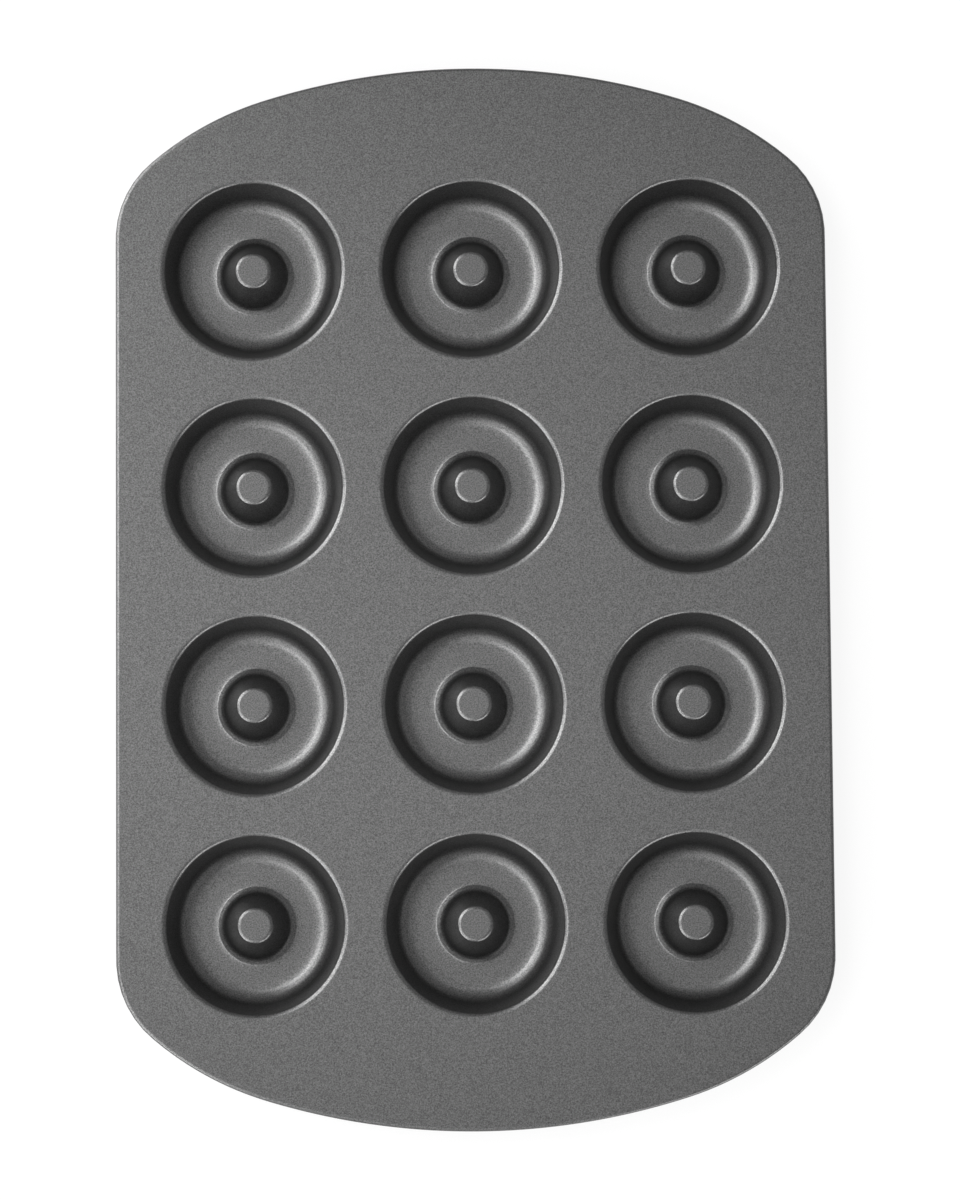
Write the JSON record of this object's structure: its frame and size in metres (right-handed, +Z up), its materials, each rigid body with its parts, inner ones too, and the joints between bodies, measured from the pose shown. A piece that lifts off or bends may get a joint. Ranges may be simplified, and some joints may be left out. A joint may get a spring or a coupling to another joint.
{
  "type": "doughnut pan",
  "caption": "Flat non-stick steel baking pan with a rolled edge and rows of round cavities, each with a tapered post in its middle, for ring doughnuts.",
  "frame": {"origin": "middle of the pan on the surface that the cavities' floors rest on", "axes": "+X across the width, +Y along the length, +Z up"},
  "size_m": [0.274, 0.409, 0.017],
  "materials": {
    "coating": "satin dark grey non-stick coating with a fine metallic fleck"
  },
  "bodies": {
    "root": {"pan": "coating"}
  },
  "joints": []
}
